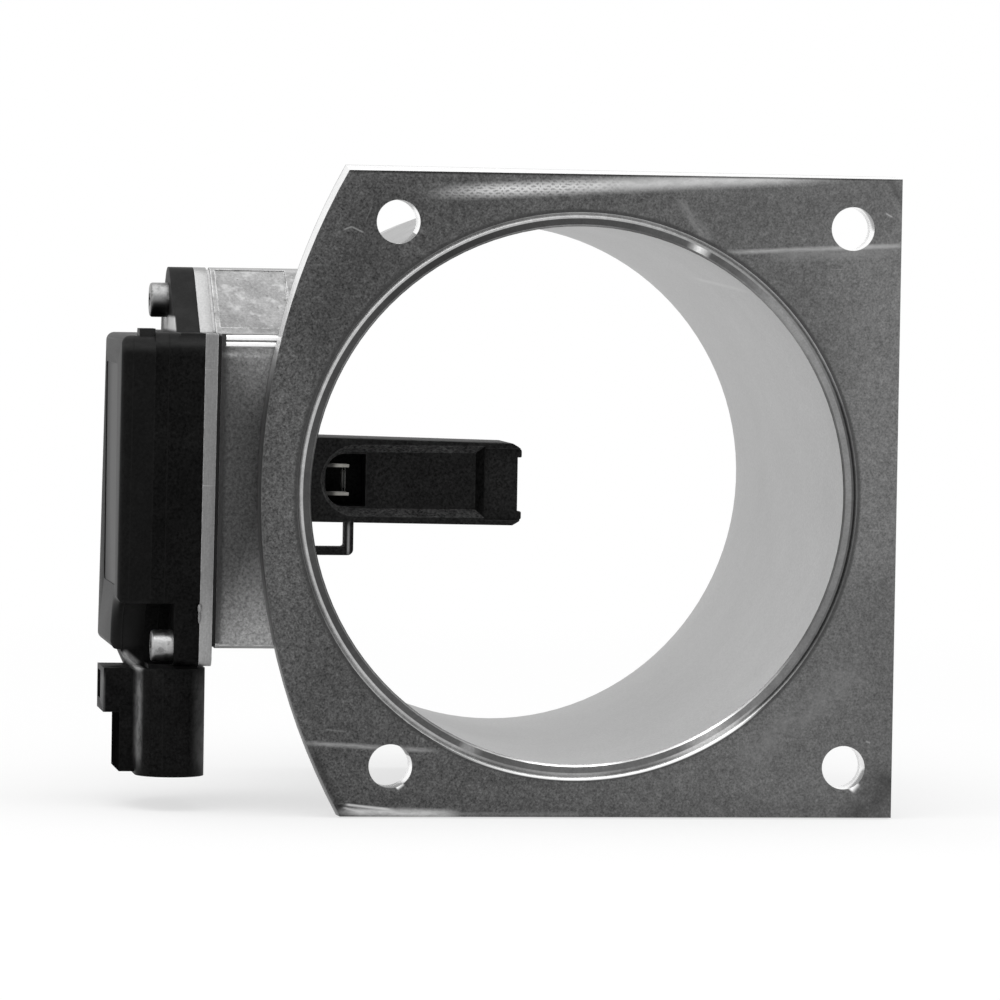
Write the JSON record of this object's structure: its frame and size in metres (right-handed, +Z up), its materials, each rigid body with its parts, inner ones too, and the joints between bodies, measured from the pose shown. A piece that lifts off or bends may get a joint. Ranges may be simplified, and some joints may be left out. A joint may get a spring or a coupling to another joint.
{
  "type": "mass airflow sensor",
  "caption": "Mass airflow sensor: cast duct with a square bolted flange and hose spigot, and a side module whose hot-wire probe reaches into the bore",
  "frame": {"origin": "on the bore's axis, in the plane of the flange's front sealing face", "axes": "+X to the right as seen from the intake, away from the module; +Y along the bore with the air flow, from flange to spigot; +Z up, away from the connector"},
  "size_m": [0.117, 0.0877, 0.0964],
  "materials": {
    "cast_aluminium": "die-cast, satin, fine grain, machined sealing face",
    "plate_aluminium": "sheet, lightly brushed",
    "gasket": "thin moulded sheet, dull",
    "black_plastic": "moulded, fine texture",
    "board": "fired substrate",
    "chip": "moulded package",
    "capacitor": "fired body",
    "contact": "tin-plated strip",
    "post": "drawn wire",
    "element": "glazed element",
    "bead": "dark glass bead",
    "seal": "moulded ring",
    "screw": "zinc-plated, dulled"
  },
  "bodies": {
    "root": {"housing": "cast_aluminium", "base_plate": "plate_aluminium", "plate_gasket": "gasket", "module_case": "black_plastic", "module_cover": "black_plastic", "circuit_board": "board", "control_chip": "chip", "power_transistor": "chip", "chip_capacitor_1": "capacitor", "chip_capacitor_2": "capacitor", "chip_capacitor_3": "capacitor", "chip_capacitor_4": "capacitor", "connector_pin_1": "contact", "connector_pin_2": "contact", "connector_pin_3": "contact", "connector_pin_4": "contact", "connector_pin_5": "contact", "probe_body": "black_plastic", "probe_lid": "black_plastic", "probe_seal": "seal", "sensor_post_1": "post", "sensor_post_2": "post", "sensor_post_3": "post", "sensor_post_4": "post", "hot_wire": "element", "compensation_element": "element", "thermistor": "bead", "upper_screw": "screw", "lower_screw": "screw", "plate_screws": "screw"}
  },
  "joints": []
}
